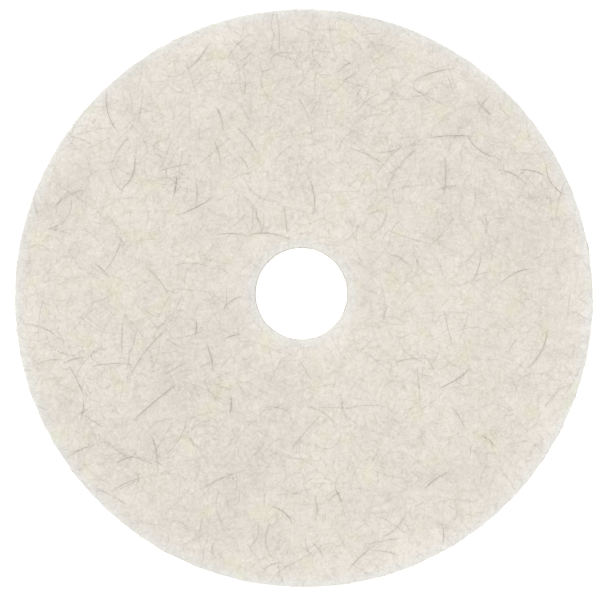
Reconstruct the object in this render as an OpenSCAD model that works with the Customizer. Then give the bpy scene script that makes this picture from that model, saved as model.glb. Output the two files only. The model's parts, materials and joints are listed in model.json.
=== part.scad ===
/* [Pad] */
// Outside diameter of the pad
pad_d = 508; // [483:1:533]
// Thickness of the web, from one working face to the other
pad_h = 25; // [20:0.5:30]
// Diameter of the die-cut hole at the centre
hole_d = 81; // [76:0.5:86]
// How far the hole's centre is cut to the right of the pad's centre (to the left if it is below zero)
hole_x = -2; // [-4:0.5:4]
// How far the hole's centre is cut behind the pad's centre (in front if it is below zero)
hole_y = 4; // [-4:0.5:4]
// Thickness of each face ply, the part of the web that the resin spray soaks
face_ply_h = 5; // [3:0.5:8]

/* [Fibres] */
// Thickness of a dark hair
dark_hair_d = 0.3; // [0.2:0.05:0.4]
// Thickness of a tan hair
tan_hair_d = 0.25; // [0.2:0.05:0.4]
// Thickness of a coarse white fibre
white_fibre_d = 0.3; // [0.2:0.05:0.4]
// Number of tan hairs on the top face
tan_hairs = 90; // [20:1:140]
// Number of coarse white fibres on the top face
white_fibres = 120; // [20:1:140]
// Number of fibres of each kind around the rim
rim_fibres_each = 48; // [12:4:60]

/* [Hidden] */
pad_r = pad_d / 2;
core_ply_h = pad_h - 2 * face_ply_h;

// The places of the dark hairs are given for a pad of this diameter, and follow the pad's size
drawn_d = 508;
places = pad_d / drawn_d;

// A fibre's ends dip under the face, and its middle rises out of it
end_dip = 0.25;
dark_rise = 0.5;
tan_rise = 0.45;
white_rise = 0.4;
// Dark hairs rise by one of a few steps, so that two that cross pass over each other
rise_step = 0.35;
rise_steps = 3;

// Fibres on the rim start under its wall and bulge out of it
rim_dip = 0.5;
rim_bow = 1.6;
rim_margin = 5;

// Fibres on a face stay this far inside its edges
face_margin = 2;

// Successive fibres turn by this angle about the centre, which spreads them evenly over a face
golden_angle = 137.508;

ivory = [0.91, 0.89, 0.84];
cream = [0.88, 0.85, 0.79];
tan_tone = [0.66, 0.56, 0.42];
dark_tone = [0.36, 0.29, 0.23];

// Dark hairs on the top face: [x, y] of one end, [x, y] of the other, and the bow to the left of that way
dark_hairs = [
    [-24, 250, -22, 219, 1.5], [-84, 223, -101, 202, 2], [-164, 147, -173, 182, 4],
    [-168, 120, -154, 141, 1.5], [-149, 126, -160, 96, 5], [-112, 108, -114, 91, 1.5],
    [-95, 105, -95, 80, 1.5], [-80, 89, -112, 73, 2], [-77, 168, -71, 147, 2],
    [-80, 140, -73, 118, 1.5], [-57, 125, -49, 114, 1.5], [-60, 151, -42, 129, 2],
    [-139, 28, -119, 4, 1.5], [-160, 53, -175, 23, 2], [-183, 30, -171, 18, 1.5],
    [-76, 56, -50, 55, 1.5], [-48, 56, -12, 52, 3], [-18, 80, -15, 58, 1.5], [2, 110, 8, 73, 4],
    [40, 132, 70, 118, 1.5], [73, 94, 98, 130, 4], [73, 80, 66, 60, 2], [124, 124, 123, 91, 1.5],
    [118, 95, 134, 99, 1.5], [100, 193, 133, 202, 1.5], [110, 141, 151, 142, 1.5],
    [166, 124, 144, 142, 3], [172, 113, 197, 98, 3], [190, 113, 212, 108, 1.5], [229, 91, 213, 118, 5],
    [153, 162, 163, 177, 1.5], [173, 13, 200, 26, 3], [165, 161, 152, 174, 1.5],
    [156, 38, 147, 12, 1.5], [78, 38, 91, 30, 1.5], [30, 198, 41, 207, 1.5],
    [-234, -58, -214, -54, 1.5], [-211, -57, -192, -52, 1.5], [-206, -60, -193, -86, 1.5],
    [-194, -88, -196, -107, 1.5], [-152, -68, -120, -27, 3], [-149, -107, -112, -76, 1.5],
    [-208, -140, -184, -129, 1.5], [-133, -122, -128, -152, 1.5], [-165, -145, -149, -139, 1.5],
    [-170, -171, -140, -157, 2], [-95, -19, -96, -34, 1.5], [-85, -41, -80, -61, 1.5],
    [-70, -8, -54, 2, 1.5], [-70, -36, -54, -32, 1.5], [-64, -86, -65, -102, 1.5],
    [-88, -167, -60, -154, 1.5], [-28, -183, -10, -198, 3], [-40, -199, -47, -218, 3],
    [-26, -229, -29, -197, 6], [-35, -238, -20, -232, 1.5], [3, -95, 27, -110, 3],
    [80, -57, 102, -53, 1.5], [147, -61, 119, -79, 2], [107, -167, 128, -152, 2],
    [60, -222, 84, -226, 1.5], [38, -240, 62, -217, 1.5], [8, -215, 17, -227, 1.5],
    [22, -178, 34, -170, 1.5], [90, -188, 70, -210, 3], [28, -168, 33, -180, 1.5],
    [10, -176, 10, -195, 2], [214, -28, 196, -62, 4], [212, -96, 226, -79, 1.5],
    [121, -198, 122, -216, 1.5], [155, -120, 168, -130, 1.5], [130, -96, 142, -115, 1.5]
];

// A ring of web with the hole through it, from one height up to another
module ply(from_z, to_z) {
    translate([0, 0, from_z])
        difference() {
            cylinder(d = pad_d, h = to_z - from_z, $fn = 180);
            translate([hole_x, hole_y, -1])
                cylinder(d = hole_d, h = to_z - from_z + 2, $fn = 120);
        }
}

// An arc of round fibre along x, its ends on the x axis and its middle bowed towards +y
module arc(span, bow, thickness) {
    bend_r = (span * span / 4 + bow * bow) / (2 * bow);
    sweep = 2 * asin(span / (2 * bend_r));
    translate([0, bow - bend_r, 0])
        rotate(90 - sweep / 2)
            rotate_extrude(angle = sweep, $fn = 180)
                translate([bend_r, 0])
                    circle(d = thickness, $fn = 16);
}

// An arc on the top face, turned to its heading and tipped until its middle rises
module face_fibre(middle, heading, span, bow, rise, thickness) {
    translate([middle[0], middle[1], pad_h - end_dip])
        rotate([0, 0, heading])
            rotate([asin(rise / bow), 0, 0])
                arc(span, bow, thickness);
}

// Fibres spread evenly over the top face, each from a turn of the golden angle
module face_spread(count, first_turn, shortest, longest, rise, thickness) {
    inner_r = norm([hole_x, hole_y]) + hole_d / 2 + longest / 2 + face_margin;
    outer_r = pad_r - longest / 2 - face_margin;
    for (i = [0 : count - 1]) {
        share = (i + 0.5) / count;
        r = sqrt(inner_r * inner_r + share * (outer_r * outer_r - inner_r * inner_r));
        turn = first_turn + i * golden_angle;
        span = shortest + (longest - shortest) * (i * 7 % 10) / 9;
        face_fibre([r * cos(turn), r * sin(turn)], i * 67 % 360, span, 1.5 + i * 3 % 4, rise, thickness);
    }
}

// Fibres around the rim that start in its wall, bulge out and go back in, at three heights in turn
module rim_spread(first_turn, span, thickness) {
    for (i = [0 : rim_fibres_each - 1]) {
        z = rim_margin + (pad_h - 2 * rim_margin) * (i * 2 % 5) / 4;
        rotate([0, 0, first_turn + i * 360 / rim_fibres_each])
            translate([pad_r - rim_dip, 0, z])
                rotate([i * 29 % 40 - 20, 0, 0])
                    rotate([0, 0, -90])
                        arc(span, rim_bow, thickness);
    }
}

module bottom_face_ply() {
    color(cream) ply(0, face_ply_h);
}

module core_ply() {
    color(ivory) ply(face_ply_h, face_ply_h + core_ply_h);
}

module top_face_ply() {
    color(cream) ply(face_ply_h + core_ply_h, pad_h);
}

module top_face_dark_hairs() {
    color(dark_tone)
        for (i = [0 : len(dark_hairs) - 1]) {
            from = places * [dark_hairs[i][0], dark_hairs[i][1]];
            to = places * [dark_hairs[i][2], dark_hairs[i][3]];
            way = to - from;
            rise = dark_rise + i % rise_steps * rise_step;
            heading = atan2(way[1], way[0]);
            face_fibre((from + to) / 2, heading, norm(way), dark_hairs[i][4], rise, dark_hair_d);
        }
}

module top_face_tan_hairs() {
    color(tan_tone) face_spread(tan_hairs, 20, 16, 32, tan_rise, tan_hair_d);
}

module top_face_white_fibres() {
    color(ivory) face_spread(white_fibres, 75, 12, 24, white_rise, white_fibre_d);
}

module rim_dark_hairs() {
    color(dark_tone) rim_spread(0, 9, dark_hair_d);
}

module rim_tan_hairs() {
    color(tan_tone) rim_spread(120 / rim_fibres_each, 8, tan_hair_d);
}

module rim_white_fibres() {
    color(ivory) rim_spread(240 / rim_fibres_each, 10, white_fibre_d);
}

bottom_face_ply();
core_ply();
top_face_ply();
top_face_dark_hairs();
top_face_tan_hairs();
top_face_white_fibres();
rim_dark_hairs();
rim_tan_hairs();
rim_white_fibres();
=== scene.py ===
# %% [markdown]
# # A natural-hair floor polishing pad
#
# The pad is one thick disc of nonwoven web. Crimped white fibre is blown into a loose mat with dark and tan
# natural hair, both faces are sprayed with resin, and a die cuts the round outline and the centre hole.
# The frame holds three plies of web and a few hundred single fibres. Here the plies get their uneven, felted
# surface, and thousands of real fibres are laid over them.

import json
import math

import bmesh
import bpy
import numpy as np
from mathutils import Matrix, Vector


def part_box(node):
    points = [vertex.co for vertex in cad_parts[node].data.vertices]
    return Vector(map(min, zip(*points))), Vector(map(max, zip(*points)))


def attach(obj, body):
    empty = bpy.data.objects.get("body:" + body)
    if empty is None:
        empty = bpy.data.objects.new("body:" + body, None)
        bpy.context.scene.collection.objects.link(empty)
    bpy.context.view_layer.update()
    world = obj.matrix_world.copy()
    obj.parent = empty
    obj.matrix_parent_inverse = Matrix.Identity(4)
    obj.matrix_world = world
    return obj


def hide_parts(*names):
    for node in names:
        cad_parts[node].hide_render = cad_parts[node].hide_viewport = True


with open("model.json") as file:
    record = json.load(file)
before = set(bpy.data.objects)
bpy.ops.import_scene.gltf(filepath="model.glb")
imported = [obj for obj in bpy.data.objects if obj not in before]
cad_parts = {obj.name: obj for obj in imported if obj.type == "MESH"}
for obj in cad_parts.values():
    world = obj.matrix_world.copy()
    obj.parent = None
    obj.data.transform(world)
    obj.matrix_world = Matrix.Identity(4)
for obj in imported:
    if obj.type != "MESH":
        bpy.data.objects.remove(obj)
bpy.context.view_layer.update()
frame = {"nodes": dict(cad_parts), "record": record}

# %% [markdown]
# ## Measures
#
# Every place comes from the frame: the outline and the heights from the plies, the hole from its mount.
# Millimetres are easier to read for fibre, so one name turns them into metres.

# %% Measures
MM = 0.001
FULL_TURN = 2 * math.pi
top_low, top_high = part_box("top_face_ply")
bottom_low, bottom_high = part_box("bottom_face_ply")
pad_r = top_high.x
top_z = top_high.z
floor_z = bottom_low.z
hole = next(m for m in frame["record"]["mounts"] if m["name"] == "centre_hole")
hole_r = hole["dims"]["r_mm"] * MM
hole_at = np.array(hole["pos_m"][:2])
SEED = 7
rng = np.random.default_rng(SEED)
print("pad radius", pad_r, "hole radius", hole_r, "hole at", hole_at, "thickness", top_z - floor_z)

# %% [markdown]
# ## The swell of the web
#
# A blown web is never flat: it rises and sinks by a few tenths of a millimetre over each centimetre, where
# fibre has bunched. A sum of plane waves in random directions makes such a field. It is a formula, so the
# plies and the fibres that lie on them can both ask it for the height at any place.

# %% A field of random waves
SOFTEN = 0.7


def wave_field(count, shortest, longest, seed):
    """A function of x and y that swings about -1 to 1, with wavelengths from shortest to longest."""
    draw = np.random.default_rng(seed)
    length = np.exp(draw.uniform(math.log(shortest), math.log(longest), count))
    turn = draw.uniform(0, FULL_TURN, count)
    phase = draw.uniform(0, FULL_TURN, count)
    along_x = FULL_TURN / length * np.cos(turn)
    along_y = FULL_TURN / length * np.sin(turn)
    weight = length ** 0.5
    weight /= math.sqrt((weight ** 2).sum() / 2)

    def at(x, y):
        total = np.zeros(np.broadcast(x, y).shape)
        for i in range(count):
            total += weight[i] * np.sin(along_x[i] * x + along_y[i] * y + phase[i])
        return np.tanh(SOFTEN * total)

    return at


# %% The height of the faces and the radius of the walls
WAVES = 40
top_swell = wave_field(WAVES, shortest=5 * MM, longest=45 * MM, seed=11)
bottom_swell = wave_field(WAVES, shortest=5 * MM, longest=45 * MM, seed=12)
rim_swell = wave_field(WAVES, shortest=3 * MM, longest=30 * MM, seed=13)
bore_swell = wave_field(WAVES, shortest=3 * MM, longest=20 * MM, seed=14)
FACE_SINK = 0.45 * MM
FACE_SWING = 0.3 * MM
WALL_SINK = 0.4 * MM
WALL_SWING = 0.3 * MM
UPRIGHT_SQUEEZE = 3
BORE_SHARE = 0.5


def top_height(x, y):
    """Height of the top face's web."""
    return top_z - FACE_SINK + FACE_SWING * top_swell(x, y)


def bottom_height(x, y):
    """Height of the bottom face's web, which swells down to just above the floor."""
    return floor_z + FACE_SINK - FACE_SWING * bottom_swell(x, y)


def rim_radius(angle, z):
    """Radius of the rim's web, whose swells are longer round the rim than up it."""
    return pad_r - WALL_SINK + WALL_SWING * rim_swell(angle * pad_r, UPRIGHT_SQUEEZE * z)


def bore_radius(angle, z):
    """Radius of the hole's web, about the hole's own centre. It swells less than the rim does."""
    swell = WALL_SWING * bore_swell(angle * hole_r, UPRIGHT_SQUEEZE * z)
    return hole_r + BORE_SHARE * (WALL_SINK + swell)


print("top face at the middle of the ring", top_height((pad_r + hole_r) / 2, 0.0))
print("rim radius at mid height", rim_radius(0.0, (floor_z + top_z) / 2))

# %% [markdown]
# ## The plies
#
# Each ply is a ring. Its section is a rectangle of four vertices, and spinning it about the pad's axis makes
# the ring, with the last section merged into the first. The die rounds the edge between a face and a wall a
# little, so that edge gets a bevel, and the long sides are divided so that they can swell. The hole is a
# little off centre, so the inner rings slide over towards it. Then every vertex is moved onto the swell.

# %% Choosing edges of a ring
TOUCH = 0.01 * MM
EDGE_ROUND = 1.1 * MM


def at_height(edges, height):
    """The edges that run round the ring or across it at this height."""
    return [e for e in edges if all(abs(v.co.z - height) < TOUCH for v in e.verts)]


def runs_round(edge):
    """Whether both ends of an edge are equally far from the axis."""
    first, second = edge.verts
    return abs(first.co.xy.length - second.co.xy.length) < TOUCH


# %% Spinning a ring of web
SPIN_STEPS = 720
FACE_CUTS = 100
EDGE_SEGMENTS = 4


def spun_section(low_z, high_z):
    """A closed ring with four edges round it, from low_z to high_z."""
    bm = bmesh.new()
    corners = [(hole_r, low_z), (pad_r, low_z), (pad_r, high_z), (hole_r, high_z)]
    verts = [bm.verts.new((r, 0, z)) for r, z in corners]
    for first, second in zip(verts, verts[1:] + verts[:1]):
        bm.edges.new((first, second))
    bmesh.ops.spin(
        bm, geom=bm.verts[:] + bm.edges[:], cent=(0, 0, 0), axis=(0, 0, 1),
        angle=FULL_TURN, steps=SPIN_STEPS, use_merge=True,
    )
    bmesh.ops.remove_doubles(bm, verts=bm.verts, dist=TOUCH)
    return bm


def piece_of(mesh):
    """An object in the scene that shows this mesh, under the mesh's own name."""
    mesh.shade_smooth()
    piece = bpy.data.objects.new(mesh.name, mesh)
    bpy.context.scene.collection.objects.link(piece)
    return piece


def ring(name, low_z, high_z, face_z, wall_cuts):
    """A ring of web, divided so that it can swell. The face that shows, if it has one, is at face_z."""
    bm = spun_section(low_z, high_z)
    upright = [e for e in bm.edges if abs(e.verts[0].co.z - e.verts[1].co.z) > TOUCH]
    bmesh.ops.subdivide_edges(bm, edges=upright, cuts=wall_cuts)
    if face_z is not None:
        rounded = [e for e in at_height(bm.edges, face_z) if runs_round(e)]
        bmesh.ops.bevel(
            bm, geom=rounded, offset=EDGE_ROUND, segments=EDGE_SEGMENTS, profile=0.5,
            affect="EDGES", material=-1,
        )
        across = [e for e in at_height(bm.edges, face_z) if not runs_round(e)]
        bmesh.ops.subdivide_edges(bm, edges=across, cuts=FACE_CUTS)
    bmesh.ops.recalc_face_normals(bm, faces=bm.faces)
    mesh = bpy.data.meshes.new(name)
    bm.to_mesh(mesh)
    bm.free()
    return piece_of(mesh)


# %% [markdown]
# The swell could be a displace modifier, but the fibres couldn't ask a modifier for its height. Moving the
# vertices by the functions that the fibres use as well keeps web and fibres in touch.

# %% Swelling a ring
EDGE_REACH = 2 * EDGE_ROUND


def felt(piece):
    """Moves a ring's vertices onto the swell of the faces and walls that show."""
    mesh = piece.data
    places = np.empty(len(mesh.vertices) * 3)
    mesh.vertices.foreach_get("co", places)
    places = places.reshape(-1, 3)
    r = np.hypot(places[:, 0], places[:, 1])
    angle = np.arctan2(places[:, 1], places[:, 0])
    z = places[:, 2].copy()
    # The inner radius and the outer one each follow their own wall, and rings between share the change
    across = (r - hole_r) / (pad_r - hole_r)
    new_r = r + (bore_radius(angle, z) - hole_r) * (1 - across) + (rim_radius(angle, z) - pad_r) * across
    x = new_r * np.cos(angle) + hole_at[0] * (1 - across)
    y = new_r * np.sin(angle) + hole_at[1] * (1 - across)
    # A vertex on a face moves all the way to the swell, and one deep in the wall doesn't move up or down
    near_top = np.clip(1 - (top_z - z) / EDGE_REACH, 0, 1)
    near_floor = np.clip(1 - (z - floor_z) / EDGE_REACH, 0, 1)
    z += near_top * (top_height(x, y) - top_z) + near_floor * (bottom_height(x, y) - floor_z)
    mesh.vertices.foreach_set("co", np.c_[x, y, z].ravel())
    mesh.update()
    print(piece.name, len(mesh.polygons), "faces, z", round(z.min(), 5), round(z.max(), 5))


# %% Make the three plies
FACE_PLY_CUTS = 3
CORE_CUTS = 16
top_ply = ring("top_face_web", top_low.z, top_high.z, top_z, FACE_PLY_CUTS)
bottom_ply = ring("bottom_face_web", bottom_low.z, bottom_high.z, floor_z, FACE_PLY_CUTS)
core_ply = ring("core_web", bottom_high.z, top_low.z, None, CORE_CUTS)
for ply in (top_ply, bottom_ply, core_ply):
    felt(ply)

# %% [markdown]
# ## Fibre
#
# A fibre is a thin tube along a path. The paths are drawn at random but with a maker's rules: white fibre is
# crimped, so its path waves, hair is smooth and bows in one long curve, and both dive into the web at their
# ends. All the paths of one piece become splines of one curve with a three-sided section, which is turned
# into a mesh and welded. Each fibre carries a tone of its own, from 0 to 1, for its material to read.

# %% A section for the tubes
SECTION_SIDES = 3


def fibre_section():
    """A small triangle with a radius of 1, which each path's own radius scales."""
    curve = bpy.data.curves.new("fibre_section", "CURVE")
    curve.dimensions = "2D"
    spline = curve.splines.new("POLY")
    spline.points.add(SECTION_SIDES - 1)
    for i, point in enumerate(spline.points):
        turn = -FULL_TURN * i / SECTION_SIDES
        point.co = (math.cos(turn), math.sin(turn), 0, 1)
    spline.use_cyclic_u = True
    section = bpy.data.objects.new("fibre_section", curve)
    bpy.context.scene.collection.objects.link(section)
    return section


# %% Tubes along paths
END_TAPER = 0.6
WELD = 0.001 * MM


def fibre_curve(name, paths, radii, section):
    """One curve with a spline for each path."""
    curve = bpy.data.curves.new(name, "CURVE")
    curve.dimensions = "3D"
    curve.bevel_mode = "OBJECT"
    curve.bevel_object = section
    curve.use_fill_caps = True
    for path, radius in zip(paths, radii):
        spline = curve.splines.new("POLY")
        spline.points.add(len(path) - 1)
        spline.points.foreach_set("co", np.c_[path, np.ones(len(path))].ravel())
        taper = np.ones(len(path))
        taper[0] = taper[-1] = END_TAPER
        spline.points.foreach_set("radius", radius * taper)
    return curve


def write_tones(mesh, paths, tones):
    """Gives every vertex the tone of its fibre."""
    # The mesh lists the end caps first, from the last path back to the first, and then every tube in order
    caps = np.repeat(tones[::-1], 2 * SECTION_SIDES)
    tubes = np.repeat(tones, [SECTION_SIDES * len(path) for path in paths])
    tone = mesh.attributes.new("tone", "FLOAT", "POINT")
    tone.data.foreach_set("value", np.concatenate([caps, tubes]).astype(np.float32))


def fibres(name, paths, radii, tones):
    """One piece of closed tubes, one along each path."""
    section = fibre_section()
    bent = bpy.data.objects.new(name, fibre_curve(name, paths, radii, section))
    bpy.context.scene.collection.objects.link(bent)
    mesh = bpy.data.meshes.new_from_object(bent.evaluated_get(bpy.context.evaluated_depsgraph_get()))
    mesh.name = name
    write_tones(mesh, paths, tones)
    while mesh.uv_layers:
        mesh.uv_layers.remove(mesh.uv_layers[0])
    bm = bmesh.new()
    bm.from_mesh(mesh)
    bmesh.ops.remove_doubles(bm, verts=bm.verts, dist=WELD)
    bmesh.ops.recalc_face_normals(bm, faces=bm.faces)
    bm.to_mesh(mesh)
    bm.free()
    bpy.data.objects.remove(bent)
    bpy.data.objects.remove(section)
    print(name, len(paths), "fibres,", sum(len(p.vertices) - 2 for p in mesh.polygons), "triangles")
    return piece_of(mesh)


# %% [markdown]
# A path starts flat, as distances along and across its heading, and a height over the web. It is then laid
# on a face or wrapped round a wall. A fibre that would cross an edge is cut there, as the die cut it.

# %% Flat paths
HOOK = 0.35
DIVE_POWER = 2.5
CRIMP_LIFT = 0.3


def flat_paths(count, steps, length, bend, crimp, crimp_wave, rise, dip):
    """Along, across and height for count paths of steps points. Each pair is a (lowest, highest) value."""
    share = np.linspace(-0.5, 0.5, steps)[None, :]
    span = rng.uniform(*length, count)[:, None]
    bow = (rng.normal(0, 1, count) * bend)[:, None]
    wave = rng.uniform(*crimp_wave, count)[:, None]
    swing = rng.uniform(*crimp, count)[:, None]
    phase = rng.uniform(0, FULL_TURN, (count, 1))
    hook = rng.normal(0, 1, (count, 1)) * HOOK
    along = share * span
    across = bow * span * (0.25 - share * share) * (1 + hook * share * 2)
    across = across + swing * np.sin(along * FULL_TURN / wave + phase)
    peak = rng.uniform(*rise, count)[:, None]
    under = rng.uniform(*dip, count)[:, None]
    height = (peak + under) * (1 - (2 * np.abs(share)) ** DIVE_POWER) - under
    height = height + CRIMP_LIFT * swing * np.cos(along * FULL_TURN / wave + phase)
    return along, across, height


def turned(along, across, heading):
    """The flat path turned to its heading."""
    cosine = np.cos(heading)[:, None]
    sine = np.sin(heading)[:, None]
    return along * cosine - across * sine, along * sine + across * cosine


# %% Cutting paths where the die cut them
FEWEST_POINTS = 3


def inside_runs(points, keep):
    """The longest unbroken run of kept points of each path."""
    runs = []
    for path, good in zip(points, keep):
        if good.all():
            runs.append(path)
            continue
        ends = np.flatnonzero(~good)
        starts = np.concatenate([[0], ends + 1])
        stops = np.concatenate([ends, [len(path)]])
        longest = np.argmax(stops - starts)
        runs.append(path[starts[longest]:stops[longest]])
    return runs


def long_enough(paths, *values):
    """Drops the paths that the edges cut too short, and their values."""
    good = [i for i, path in enumerate(paths) if len(path) >= FEWEST_POINTS]
    return [paths[i] for i in good], *[v[good] for v in values]


# %% Laying paths on a face
REST_GAP = 0.1 * MM
RIM_MARGIN = 0.3 * MM
HOLE_MARGIN = 0.2 * MM


def edge_drop(x, y):
    """How far the rounded edge has fallen from the face at this place."""
    rim_gap = pad_r - np.hypot(x, y)
    hole_gap = np.hypot(x - hole_at[0], y - hole_at[1]) - hole_r
    near = np.clip(1 - np.minimum(rim_gap, hole_gap) / EDGE_ROUND, 0, 1)
    return EDGE_ROUND * (1 - np.sqrt(1 - near ** 2))


def lay_on_face(flat, middles, heading, height_at, side):
    """Paths on a face: side is 1 on top and -1 below. The floor presses the lower ones flat."""
    along, across, height = flat
    dx, dy = turned(along, across, heading)
    x = middles[:, :1] + dx
    y = middles[:, 1:] + dy
    z = np.maximum(height_at(x, y) + side * (height - edge_drop(x, y)), floor_z + REST_GAP)
    keep = np.hypot(x, y) < pad_r - RIM_MARGIN
    keep &= np.hypot(x - hole_at[0], y - hole_at[1]) > hole_r + HOLE_MARGIN
    return inside_runs(np.stack([x, y, z], axis=2), keep)


# %% Wrapping paths round a wall
FACE_MARGIN = 0.4 * MM


def wrap_on_wall(flat, starts, heights, heading, radius_at, side, centre, nominal_r):
    """Paths on a round wall: side is 1 on the rim, whose fibres stand outwards, and -1 in the hole."""
    along, across, height = flat
    ds, dz = turned(along, across, heading)
    angle = starts[:, None] + ds / nominal_r
    z = heights[:, None] + dz
    r = radius_at(angle, z) + side * height
    x = centre[0] + r * np.cos(angle)
    y = centre[1] + r * np.sin(angle)
    keep = (z > floor_z + FACE_MARGIN) & (z < top_z - FACE_MARGIN)
    return inside_runs(np.stack([x, y, z], axis=2), keep)


# %% [markdown]
# ## White fibre on the faces
#
# White fibre makes up most of the web. It lies at every heading and covers a face so closely that single
# fibres hardly show, but they give the face its fuzz. Hair modelled as a particle system wouldn't reach the
# exported model, so each fibre is a tube. Three pieces of fibre cover the top, and two cover the bottom,
# which rests on the floor.

# %% Places on a face
def spread_middles(count):
    """Places spread evenly at random over a face."""
    share = rng.uniform(0, 1, count)
    r = np.sqrt(hole_r ** 2 + share * (pad_r ** 2 - hole_r ** 2))
    turn = rng.uniform(0, FULL_TURN, count)
    return np.c_[r * np.cos(turn), r * np.sin(turn)]


def face_layer(name, middles, rules, thickness, height_at, side):
    """A piece of fibres laid on one face, each about its own middle."""
    count = len(middles)
    flat = flat_paths(count, **rules)
    paths = lay_on_face(flat, middles, rng.uniform(0, FULL_TURN, count), height_at, side)
    paths, radii, tones = long_enough(paths, rng.uniform(*thickness, count) / 2, rng.uniform(0, 1, count))
    return fibres(name, paths, radii, tones)


# %% Lay the white fibre
TOP_WHITE_PIECES = 3
BOTTOM_WHITE_PIECES = 2
WHITE_COUNT = 3700
WHITE_THICKNESS = (0.08 * MM, 0.17 * MM)
WHITE_FACE = dict(steps=9, length=(14 * MM, 34 * MM), bend=0.55, crimp=(0.2 * MM, 0.8 * MM),
                  crimp_wave=(8 * MM, 16 * MM), rise=(-0.05 * MM, 0.3 * MM), dip=(0.1 * MM, 0.5 * MM))


def white_layer(name, height_at, side):
    """A piece of white fibre on one face."""
    return face_layer(name, spread_middles(WHITE_COUNT), WHITE_FACE, WHITE_THICKNESS, height_at, side)


top_white = [white_layer(f"top_white_fibres_{i + 1}", top_height, 1) for i in range(TOP_WHITE_PIECES)]
bottom_white = [
    white_layer(f"bottom_white_fibres_{i + 1}", bottom_height, -1) for i in range(BOTTOM_WHITE_PIECES)
]

# %% [markdown]
# ## Hair on the faces
#
# Natural hair gives this kind of pad its look. It is longer and stiffer than the white fibre, without crimp,
# and it doesn't spread as evenly: it clumps, so that several hairs cross at one place. Half the middles are
# drawn near a few clump centres. The boldest dark hairs come with the frame, and these are the finer ones.

# %% Places of clumped hair
CLUMPED_SHARE = 0.5


def clumped_middles(count, clumps, spread):
    """Places of which half gather round a few clumps."""
    middles = spread_middles(count)
    centres = spread_middles(clumps)
    gathered = rng.uniform(0, 1, count) < CLUMPED_SHARE
    pick = rng.integers(0, clumps, count)
    near = centres[pick] + rng.normal(0, spread, (count, 2))
    middles[gathered] = near[gathered]
    return middles


# %% Lay the hair
HAIR_THICKNESS = (0.07 * MM, 0.15 * MM)
HAIR_FACE = dict(steps=10, length=(16 * MM, 48 * MM), bend=0.5, crimp=(0.0 * MM, 0.05 * MM),
                 crimp_wave=(20 * MM, 30 * MM), rise=(-0.1 * MM, 0.45 * MM), dip=(0.2 * MM, 0.5 * MM))


def hair_layer(name, height_at, side, **clumping):
    """A piece of hairs on one face. The count, number of clumps and their spread come in clumping."""
    return face_layer(name, clumped_middles(**clumping), HAIR_FACE, HAIR_THICKNESS, height_at, side)


top_dark = hair_layer("top_fine_dark_hairs", top_height, 1, count=400, clumps=70, spread=8 * MM)
top_tan = hair_layer("top_fine_tan_hairs", top_height, 1, count=420, clumps=60, spread=10 * MM)
bottom_dark = hair_layer("bottom_dark_hairs", bottom_height, -1, count=700, clumps=70, spread=9 * MM)
bottom_tan = hair_layer("bottom_tan_hairs", bottom_height, -1, count=900, clumps=70, spread=12 * MM)

# %% [markdown]
# ## Fibre on the cut walls
#
# The web was laid flat, layer on layer, so on a cut wall the fibres run nearly level, and the die leaves
# short ends standing out. A flat path is wrapped round the wall: its length becomes an angle and its height
# a distance from the wall. In the hole the fibres are made to lie lower, so that its outline stays clean.

# %% Paths on a wall
LEVEL_SPREAD = 0.45


def wall_layer(name, count, rules, thickness, radius_at, side, centre, nominal_r):
    """A piece of count fibres on a round wall, most of them nearly level."""
    flat = flat_paths(count, **rules)
    heading = rng.normal(0, LEVEL_SPREAD, count)
    paths = wrap_on_wall(
        flat, rng.uniform(0, FULL_TURN, count), rng.uniform(floor_z, top_z, count), heading,
        radius_at, side, centre, nominal_r,
    )
    paths, radii, tones = long_enough(paths, rng.uniform(*thickness, count) / 2, rng.uniform(0, 1, count))
    return fibres(name, paths, radii, tones)


# %% Fibre round the rim
RIM_WHITE_COUNT = 4600
RIM_HAIR_COUNT = 460
WALL_HAIR_THICKNESS = (0.1 * MM, 0.22 * MM)
WHITE_WALL = dict(steps=7, length=(6 * MM, 20 * MM), bend=0.5, crimp=(0.1 * MM, 0.5 * MM),
                  crimp_wave=(5 * MM, 12 * MM), rise=(0.1 * MM, 0.9 * MM), dip=(0.2 * MM, 0.6 * MM))
HAIR_WALL = dict(steps=7, length=(5 * MM, 22 * MM), bend=0.5, crimp=(0.0 * MM, 0.05 * MM),
                 crimp_wave=(20 * MM, 30 * MM), rise=(0.1 * MM, 1.0 * MM), dip=(0.2 * MM, 0.6 * MM))
rim_wall = (rim_radius, 1, (0.0, 0.0), pad_r)
rim_white = wall_layer("rim_white_fibres_all", RIM_WHITE_COUNT, WHITE_WALL, WHITE_THICKNESS, *rim_wall)
rim_dark = wall_layer("rim_dark_hairs_all", RIM_HAIR_COUNT, HAIR_WALL, WALL_HAIR_THICKNESS, *rim_wall)
rim_tan = wall_layer("rim_tan_hairs_all", RIM_HAIR_COUNT, HAIR_WALL, WALL_HAIR_THICKNESS, *rim_wall)

# %% Fibre in the hole
BORE_WHITE_COUNT = 800
BORE_DARK_COUNT = 60
BORE_TAN_COUNT = 70
LOW = dict(rise=(-0.1 * MM, 0.3 * MM))
bore_wall = (bore_radius, -1, tuple(hole_at), hole_r)
bore_white = wall_layer("bore_white_fibres", BORE_WHITE_COUNT, WHITE_WALL | LOW, WHITE_THICKNESS, *bore_wall)
bore_dark = wall_layer("bore_dark_hairs", BORE_DARK_COUNT, HAIR_WALL | LOW, HAIR_THICKNESS, *bore_wall)
bore_tan = wall_layer("bore_tan_hairs", BORE_TAN_COUNT, HAIR_WALL | LOW, HAIR_THICKNESS, *bore_wall)

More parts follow.
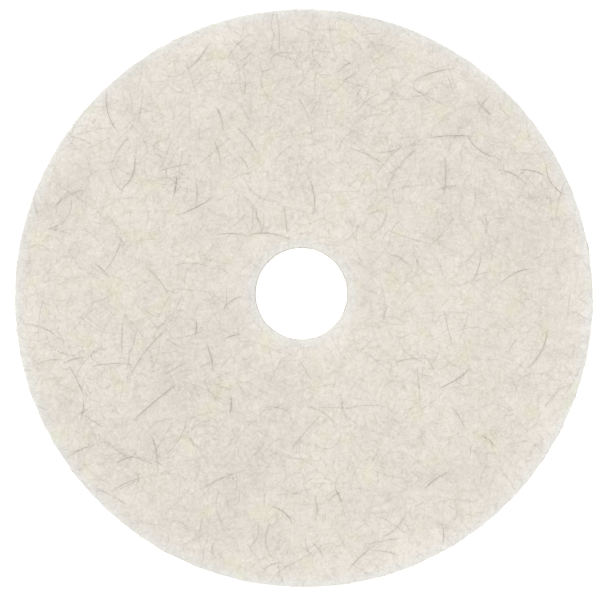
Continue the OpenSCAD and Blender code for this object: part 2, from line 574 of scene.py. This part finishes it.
# %% [markdown]
# ## Building materials from nodes
#
# An image of felt would repeat, and it would show where it was cut. Noise patterns on Object coordinates
# never repeat, and they carry on from one ply to the next across the wall. A few helpers keep each material
# short: one adds nodes, one mixes colours, one makes a smooth step and one makes a noise pattern.

# %% Adding nodes
def new_material(name):
    """An empty node material with a Principled shader, and a function that adds nodes to it."""
    material = bpy.data.materials.new(name)
    material.use_nodes = True
    tree = material.node_tree
    shader = tree.nodes["Principled BSDF"]

    def add(kind, links=None, **values):
        made = tree.nodes.new(kind)
        for key, value in values.items():
            setattr(made, key, value)
        for socket, source in (links or {}).items():
            tree.links.new(source, made.inputs[socket])
        return made

    return material, tree, shader, add


# %% Mixing, stepping and noise
# A mix node has sockets for numbers and vectors as well. These are the ones that mix colours
MIX_FACTOR = 0
MIX_FIRST = 6
MIX_SECOND = 7
MIX_RESULT = 2


def mixed(add, factor, first, second):
    """A colour mix. first and second are sockets or plain colours."""
    made = add("ShaderNodeMix", data_type="RGBA")
    for number, value in ((MIX_FACTOR, factor), (MIX_FIRST, first), (MIX_SECOND, second)):
        socket = made.inputs[number]
        if isinstance(value, bpy.types.NodeSocket):
            made.id_data.links.new(value, socket)
        elif isinstance(value, (int, float)):
            socket.default_value = value
        else:
            socket.default_value = (*value, 1)
    return made.outputs[MIX_RESULT]


def ranged(add, source, low, high, to_low=0.0, to_high=1.0):
    """A smooth step from to_low, where source is low, to to_high."""
    made = add("ShaderNodeMapRange", interpolation_type="SMOOTHSTEP")
    made.id_data.links.new(source, made.inputs[0])
    for i, value in enumerate((low, high, to_low, to_high)):
        made.inputs[1 + i].default_value = value
    return made.outputs[0]


def pattern(add, vector, scale, detail=2.0, roughness=0.5, distortion=0.0):
    """A noise pattern of about 1 / scale metres."""
    made = add("ShaderNodeTexNoise", noise_type="FBM", normalize=True)
    made.id_data.links.new(vector, made.inputs["Vector"])
    made.inputs["Scale"].default_value = scale
    made.inputs["Detail"].default_value = detail
    made.inputs["Roughness"].default_value = roughness
    made.inputs["Distortion"].default_value = distortion
    return made.outputs["Fac"]


# %% [markdown]
# ## The painted light at the cut edges
#
# Light comes through the thin web at a cut edge, so towards it the web looks paler, and within the last
# centimetre a little greyer too; that light is painted into the colour. A paint mask could hold that, but a
# distance needs no mask. Two distances from upright axes, one through the middle of the pad and one through
# the middle of the hole, give how far a place lies in from the nearer edge.

# %% Distance in from the cut edges
def from_centre(add, vector, centre):
    """Distance from an upright axis through centre."""
    moved = add("ShaderNodeMapping", {"Vector": vector})
    moved.inputs["Location"].default_value = (-centre[0], -centre[1], 0)
    moved.inputs["Scale"].default_value = (1, 1, 0)
    length = add("ShaderNodeVectorMath", {0: moved.outputs[0]}, operation="LENGTH")
    return length.outputs["Value"]


def inward(add, place):
    """How far a place lies in from the rim or from the hole, whichever is nearer."""
    from_rim = add("ShaderNodeMath", {1: from_centre(add, place, (0, 0))}, operation="SUBTRACT")
    from_rim.inputs[0].default_value = pad_r
    from_hole = add("ShaderNodeMath", {0: from_centre(add, place, hole_at)}, operation="SUBTRACT")
    from_hole.inputs[1].default_value = hole_r
    nearer = add("ShaderNodeMath", {0: from_rim.outputs[0], 1: from_hole.outputs[0]}, operation="MINIMUM")
    return nearer.outputs[0]


# %% Nearness to a face
FACE_ZONE = 4 * MM
FACE_ZONE_FULL = 1 * MM
WALL_SHARE = 0.2


def near_faces(add, place):
    """1 on either face, and little deep in a wall."""
    height = add("ShaderNodeSeparateXYZ", {0: place}).outputs["Z"]
    from_middle = add("ShaderNodeMath", {0: height}, operation="SUBTRACT")
    from_middle.inputs[1].default_value = (top_z + floor_z) / 2
    either_way = add("ShaderNodeMath", {0: from_middle.outputs[0]}, operation="ABSOLUTE").outputs[0]
    half = (top_z - floor_z) / 2
    return ranged(add, either_way, half - FACE_ZONE, half - FACE_ZONE_FULL, WALL_SHARE, 1)


# %% Painted light: paler and greyer towards the edges
# Painted light: light that comes through the thin web at the cut edges, painted into the colour as a tint
PALE_GLOW_TINT = (1.030, 1.032, 1.036)
PALE_GLOW_DEPTH = 32 * MM
PALE_GLOW_FULL = 14 * MM
GREY_GLOW_TINT = (0.995, 1.046, 1.077)
GREY_GLOW_DEPTH = 13 * MM
GREY_GLOW_FULL = 1 * MM


def tinted(add, colour, share, tint):
    """The colour multiplied by a tint, as far as share says."""
    links = {MIX_FACTOR: share, MIX_FIRST: colour}
    made = add("ShaderNodeMix", links, data_type="RGBA", blend_type="MULTIPLY")
    made.inputs[MIX_SECOND].default_value = (*tint, 1)
    return made.outputs[MIX_RESULT]


def painted_edge_glow(add, place, colour):
    """The colour with painted light from the cut edges: paler in a broad zone along the rim and the hole,
    and greyer close to them.
    """
    depth = inward(add, place)
    # Painted light: paler where light comes through the thin web near a cut edge, and greyer close to it on
    # the faces
    colour = tinted(add, colour, ranged(add, depth, PALE_GLOW_FULL, PALE_GLOW_DEPTH, 1, 0), PALE_GLOW_TINT)
    close = ranged(add, depth, GREY_GLOW_FULL, GREY_GLOW_DEPTH, 1, 0)
    share = add("ShaderNodeMath", {0: close, 1: near_faces(add, place)}, operation="MULTIPLY")
    return tinted(add, colour, share.outputs[0], GREY_GLOW_TINT)


# %% [markdown]
# ## The web's finish
#
# Felted web has no gloss. Its colour drifts in clouds a few centimetres across, with straw spots where tan
# hair is thick, and streaks where fibres lie together just under the surface. A streak is noise stretched
# along one direction. Five turned copies, of which the lightest and the darkest are kept, look like fibres
# that lie at every heading.

# %% Streaks
STROKE_TURNS = 5
STROKE_LENGTH = 12 * MM
STROKE_WIDTH = 1.0 * MM
STROKE_FIRST = 0.3
STROKE_SHIFT = (0.37, 0.61)


def strokes(add, place):
    """The lightest and the darkest of fine straight streaks in several directions."""
    lightest = darkest = None
    for i in range(STROKE_TURNS):
        stretched = add("ShaderNodeMapping", {"Vector": place}, vector_type="TEXTURE")
        stretched.inputs["Rotation"].default_value = (0, 0, math.pi * (i + STROKE_FIRST) / STROKE_TURNS)
        stretched.inputs["Location"].default_value = (STROKE_SHIFT[0] * i, STROKE_SHIFT[1] * i, 0)
        stretched.inputs["Scale"].default_value = (STROKE_LENGTH, STROKE_WIDTH, STROKE_WIDTH)
        streak = pattern(add, stretched.outputs[0], 1.0, roughness=0.7, distortion=0.4)
        if lightest is None:
            lightest = darkest = streak
            continue
        lightest = add("ShaderNodeMath", {0: lightest, 1: streak}, operation="MAXIMUM").outputs[0]
        darkest = add("ShaderNodeMath", {0: darkest, 1: streak}, operation="MINIMUM").outputs[0]
    return lightest, darkest


# %% The web's colour
WEB = (0.766, 0.714, 0.651)
STRAW = (0.758, 0.724, 0.592)
CLOUD_SCALE = 12
CLOUD_SWING = 0.12
TINT_SCALE = 18
TINT_SHARE = 0.18
SPOT_SCALE = 45
STREAK_LIGHT = 0.16
STREAK_DARK = 0.175
STREAK_SHARE = 0.9
PIT_SCALE = 330
PIT_SHADE = 0.72


def shade(colour, share):
    """A colour made lighter or darker by a share."""
    return tuple(c * share for c in colour)


def web_colour(add, place, share, pit_shade_share):
    """Clouds, straw tint, straw spots, streaks and the painted shade of pits, each laid over the last."""
    clouds = pattern(add, place, CLOUD_SCALE, detail=6.0, roughness=0.89)
    pale_cloud = shade(WEB, share + CLOUD_SWING)
    dark_cloud = shade(WEB, share - CLOUD_SWING)
    colour = mixed(add, ranged(add, clouds, 0.25, 0.75), dark_cloud, pale_cloud)
    tint = pattern(add, place, TINT_SCALE, detail=3.0, roughness=0.6)
    colour = mixed(add, ranged(add, tint, 0.38, 0.64, 0, TINT_SHARE), colour, STRAW)
    spots = pattern(add, place, SPOT_SCALE, detail=0.0)
    colour = mixed(add, ranged(add, spots, 0.67, 0.75), colour, STRAW)
    lightest, darkest = strokes(add, place)
    pale_streak = ranged(add, lightest, 0.56, 0.76, 0, STREAK_SHARE)
    colour = mixed(add, pale_streak, colour, shade(WEB, share + STREAK_LIGHT))
    dark_streak = ranged(add, darkest, 0.24, 0.44, STREAK_SHARE, 0)
    colour = mixed(add, dark_streak, colour, shade(WEB, share - STREAK_DARK))
    # Painted shade: small dark spots stand in for the shade down in the web's pits
    pits = pattern(add, place, PIT_SCALE, roughness=0.6, distortion=0.5)
    return mixed(add, ranged(add, pits, 0.3, 0.5, pit_shade_share, 0), colour, shade(WEB, PIT_SHADE))


# %% Roughness and bump
def rough_and_bumped(add, tree, shader, roughness, grain, strength, distance):
    """Roughness from one pattern, as (source, low, high), and a bump from the grain."""
    source, low, high = roughness
    tree.links.new(ranged(add, source, 0.3, 0.7, low, high), shader.inputs["Roughness"])
    bump = add("ShaderNodeBump", {"Height": grain})
    bump.inputs["Strength"].default_value = strength
    bump.inputs["Distance"].default_value = distance
    tree.links.new(bump.outputs[0], shader.inputs["Normal"])


# %% The web's two materials
WEB_GRAIN = 700
WEB_GLOSS = 0.2


def web_material(name, share, bump_height, pit_shade_share):
    """Matt felted web. The more open it is, the deeper its bump and the more painted shade of pits it shows.
    """
    material, tree, shader, add = new_material(name)
    place = add("ShaderNodeTexCoord").outputs["Object"]
    # Painted light from the cut edges is laid over the web's own colour
    colour = painted_edge_glow(add, place, web_colour(add, place, share, pit_shade_share))
    tree.links.new(colour, shader.inputs["Base Color"])
    grain = pattern(add, place, WEB_GRAIN, detail=3.0, roughness=0.7, distortion=0.6)
    roughness = (grain, 0.82, 0.97)
    rough_and_bumped(add, tree, shader, roughness, grain, strength=0.5, distance=bump_height)
    shader.inputs["Specular IOR Level"].default_value = WEB_GLOSS
    print(name, "has", len(tree.nodes), "nodes")
    return material


face_web = web_material("felted_web", share=1.0, bump_height=0.25 * MM, pit_shade_share=0.06)
core_web = web_material("open_core_web", share=1.02, bump_height=0.6 * MM, pit_shade_share=0.7)

# %% [markdown]
# ## The fibres' finishes
#
# No two hairs are the same colour. Each fibre carries its own tone, so one material gives a whole bundle
# from dark to light, and a slow noise lets the colour drift along the fibre, as a real hair's does. White
# fibre is dull and gets the same painted light at the cut edges as the web. Hair is smoother, so it is less
# rough.

# %% A material for the fibres
DRIFT_SCALE = 180
FIBRE_GRAIN = 4000
FIBRE_BUMP = 0.03 * MM
FIBRE_BUMP_STRENGTH = 0.3
FIBRE_GLOSS = 0.3
ROUGHNESS_SWING = 0.1


def fibre_material(name, dark, light, roughness, glow_edges=False):
    """Each fibre takes a tone of its own between two colours, with a little drift along it."""
    material, tree, shader, add = new_material(name)
    tone = add("ShaderNodeAttribute", attribute_name="tone").outputs["Fac"]
    place = add("ShaderNodeTexCoord").outputs["Object"]
    drift = pattern(add, place, DRIFT_SCALE)
    colour = mixed(add, tone, dark, light)
    colour = mixed(add, ranged(add, drift, 0.35, 0.65, 0, 0.3), colour, light)
    # Painted light at the cut edges, the same as on the web
    if glow_edges:
        colour = painted_edge_glow(add, place, colour)
    tree.links.new(colour, shader.inputs["Base Color"])
    grain = pattern(add, place, FIBRE_GRAIN, detail=1.0)
    swing = (drift, roughness - ROUGHNESS_SWING, roughness + ROUGHNESS_SWING)
    rough_and_bumped(add, tree, shader, swing, grain, FIBRE_BUMP_STRENGTH, FIBRE_BUMP)
    shader.inputs["Specular IOR Level"].default_value = FIBRE_GLOSS
    print(name, "has", len(tree.nodes), "nodes")
    return material


white_fibre = fibre_material(
    "white_crimped_fibre", dark=shade(WEB, 1.04), light=shade(WEB, 1.16), roughness=0.75, glow_edges=True,
)
dark_hair = fibre_material(
    "dark_natural_hair", dark=(0.09, 0.07, 0.055), light=(0.42, 0.37, 0.31), roughness=0.5,
)
tan_hair = fibre_material(
    "tan_natural_hair", dark=(0.52, 0.45, 0.33), light=(0.70, 0.63, 0.50), roughness=0.5,
)

# %% [markdown]
# The boldest dark hairs are the frame's own node, which has no tone of its own on each hair. A noise a few
# centimetres wide gives neighbouring hairs different tones instead, and the low ends of each hair fade
# towards the colour of the web that they dive into.

# %% A material for the boldest hairs
BURIED_DEPTH = 0.5 * MM
HAIR_TONE_SCALE = 28
HAIR_DRIFT_SCALE = 300


def bold_hair_material(name, dark, light, buried):
    """The boldest hairs. Each has its own tone, and its ends fade where they dive into the web."""
    material, tree, shader, add = new_material(name)
    place = add("ShaderNodeTexCoord").outputs["Object"]
    tone = ranged(add, pattern(add, place, HAIR_TONE_SCALE, detail=1.0), 0.38, 0.62)
    colour = mixed(add, tone, dark, light)
    height = add("ShaderNodeSeparateXYZ", {0: place}).outputs["Z"]
    colour = mixed(add, ranged(add, height, top_z, top_z + BURIED_DEPTH, 1, 0), colour, buried)
    tree.links.new(colour, shader.inputs["Base Color"])
    drift = pattern(add, place, HAIR_DRIFT_SCALE)
    grain = pattern(add, place, FIBRE_GRAIN, detail=1.0)
    rough_and_bumped(add, tree, shader, (drift, 0.35, 0.6), grain, FIBRE_BUMP_STRENGTH, FIBRE_BUMP)
    shader.inputs["Specular IOR Level"].default_value = FIBRE_GLOSS
    print(name, "has", len(tree.nodes), "nodes")
    return material


bold_hair = bold_hair_material(
    "bold_dark_hair", dark=(0.23, 0.19, 0.16), light=(0.48, 0.43, 0.37), buried=(0.62, 0.57, 0.5),
)

# %% [markdown]
# ## Finish and body
#
# Each piece takes one material and rides on the pad's only body. Squeezed between a machine's drive plate
# and the floor, the three plies give all the way through. A piece that shows a frame node's part in more
# detail replaces it. The boldest dark hairs are already as fine as they need to be, so that node stays and
# only gets its material.

# %% Give each piece its finish and its body
BODY = "root"


def finish(piece, material, slot, *nodes):
    """One material, the body, and the frame nodes that the piece replaces. The slot is not used."""
    piece.data.materials.clear()
    piece.data.materials.append(material)
    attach(piece, BODY)
    if nodes:
        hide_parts(*nodes)


finish(top_ply, face_web, "face_web", "top_face_ply")
finish(core_ply, core_web, "core_web", "core_ply")
finish(bottom_ply, face_web, "face_web", "bottom_face_ply")

# %% Finish the fibres
first_white, *more_white = top_white
finish(first_white, white_fibre, "white_fibre", "top_face_white_fibres")
finish(rim_white, white_fibre, "white_fibre", "rim_white_fibres")
for piece in more_white + bottom_white + [bore_white]:
    finish(piece, white_fibre, "white_fibre")
finish(rim_dark, dark_hair, "dark_hair", "rim_dark_hairs")
for piece in (top_dark, bottom_dark, bore_dark):
    finish(piece, dark_hair, "dark_hair")
finish(top_tan, tan_hair, "tan_hair", "top_face_tan_hairs")
finish(rim_tan, tan_hair, "tan_hair", "rim_tan_hairs")
for piece in (bottom_tan, bore_tan):
    finish(piece, tan_hair, "tan_hair")
bold = frame["nodes"]["top_face_dark_hairs"]
bold.data.materials.clear()
bold.data.materials.append(bold_hair)
print("the boldest hairs keep", len(bold.data.polygons), "faces from the frame")

# %% [markdown]
# ## Floor, light and camera
#
# The pad lies on a plain white floor. Most of the light is the pale world, but light from all round leaves
# felt flat, so a broad soft sun adds just enough shape. The camera looks straight down from well above, with
# the lens chosen so that the pad nearly fills the view.

# %% Floor
FLOOR_SIZE = 30
FLOOR_SHADE = 0.9
FLOOR_GLOW = 0.5
bpy.ops.mesh.primitive_plane_add(size=FLOOR_SIZE, location=(0, 0, floor_z))
floor = bpy.context.object
floor.name = "floor"
floor_material, _, floor_shader, _ = new_material("white_table")
floor_shader.inputs["Base Color"].default_value = (FLOOR_SHADE, FLOOR_SHADE, FLOOR_SHADE, 1)
floor_shader.inputs["Roughness"].default_value = 0.9
floor_shader.inputs["Emission Color"].default_value = (1, 1, 1, 1)
floor_shader.inputs["Emission Strength"].default_value = FLOOR_GLOW
floor.data.materials.append(floor_material)
print("the floor is at", floor_z)

# %% Light
SKY_STRENGTH = 0.84
SUN_STRENGTH = 0.7
SUN_WIDTH = math.radians(60)
SUN_LEAN = math.radians(16)
scene = bpy.context.scene
scene.view_settings.view_transform = "Standard"
world = bpy.data.worlds.new("studio")
world.use_nodes = True
world.node_tree.nodes["Background"].inputs["Color"].default_value = (1, 1, 1, 1)
world.node_tree.nodes["Background"].inputs["Strength"].default_value = SKY_STRENGTH
scene.world = world
sun = bpy.data.lights.new("key", "SUN")
sun.energy = SUN_STRENGTH
sun.angle = SUN_WIDTH
key = bpy.data.objects.new("key", sun)
key.rotation_euler = (-SUN_LEAN, -SUN_LEAN, 0)
scene.collection.objects.link(key)
print("the sun is", SUN_STRENGTH, "strong and the sky", SKY_STRENGTH)

# %% Camera
CAMERA_HEIGHT = 2.6
CAMERA_ASIDE = -0.0128 * pad_r
CAMERA_FORWARD = -0.0063 * pad_r
SENSOR_WIDTH = 36
VIEW_WIDTH = 1.0374 * 2 * pad_r
camera_data = bpy.data.cameras.new("camera")
camera_data.sensor_width = SENSOR_WIDTH
camera_data.lens = SENSOR_WIDTH * CAMERA_HEIGHT / VIEW_WIDTH
camera = bpy.data.objects.new("camera", camera_data)
camera.location = (CAMERA_ASIDE, CAMERA_FORWARD, top_z + CAMERA_HEIGHT)
scene.collection.objects.link(camera)
scene.camera = camera
print("the lens is", round(camera_data.lens, 1), "mm")
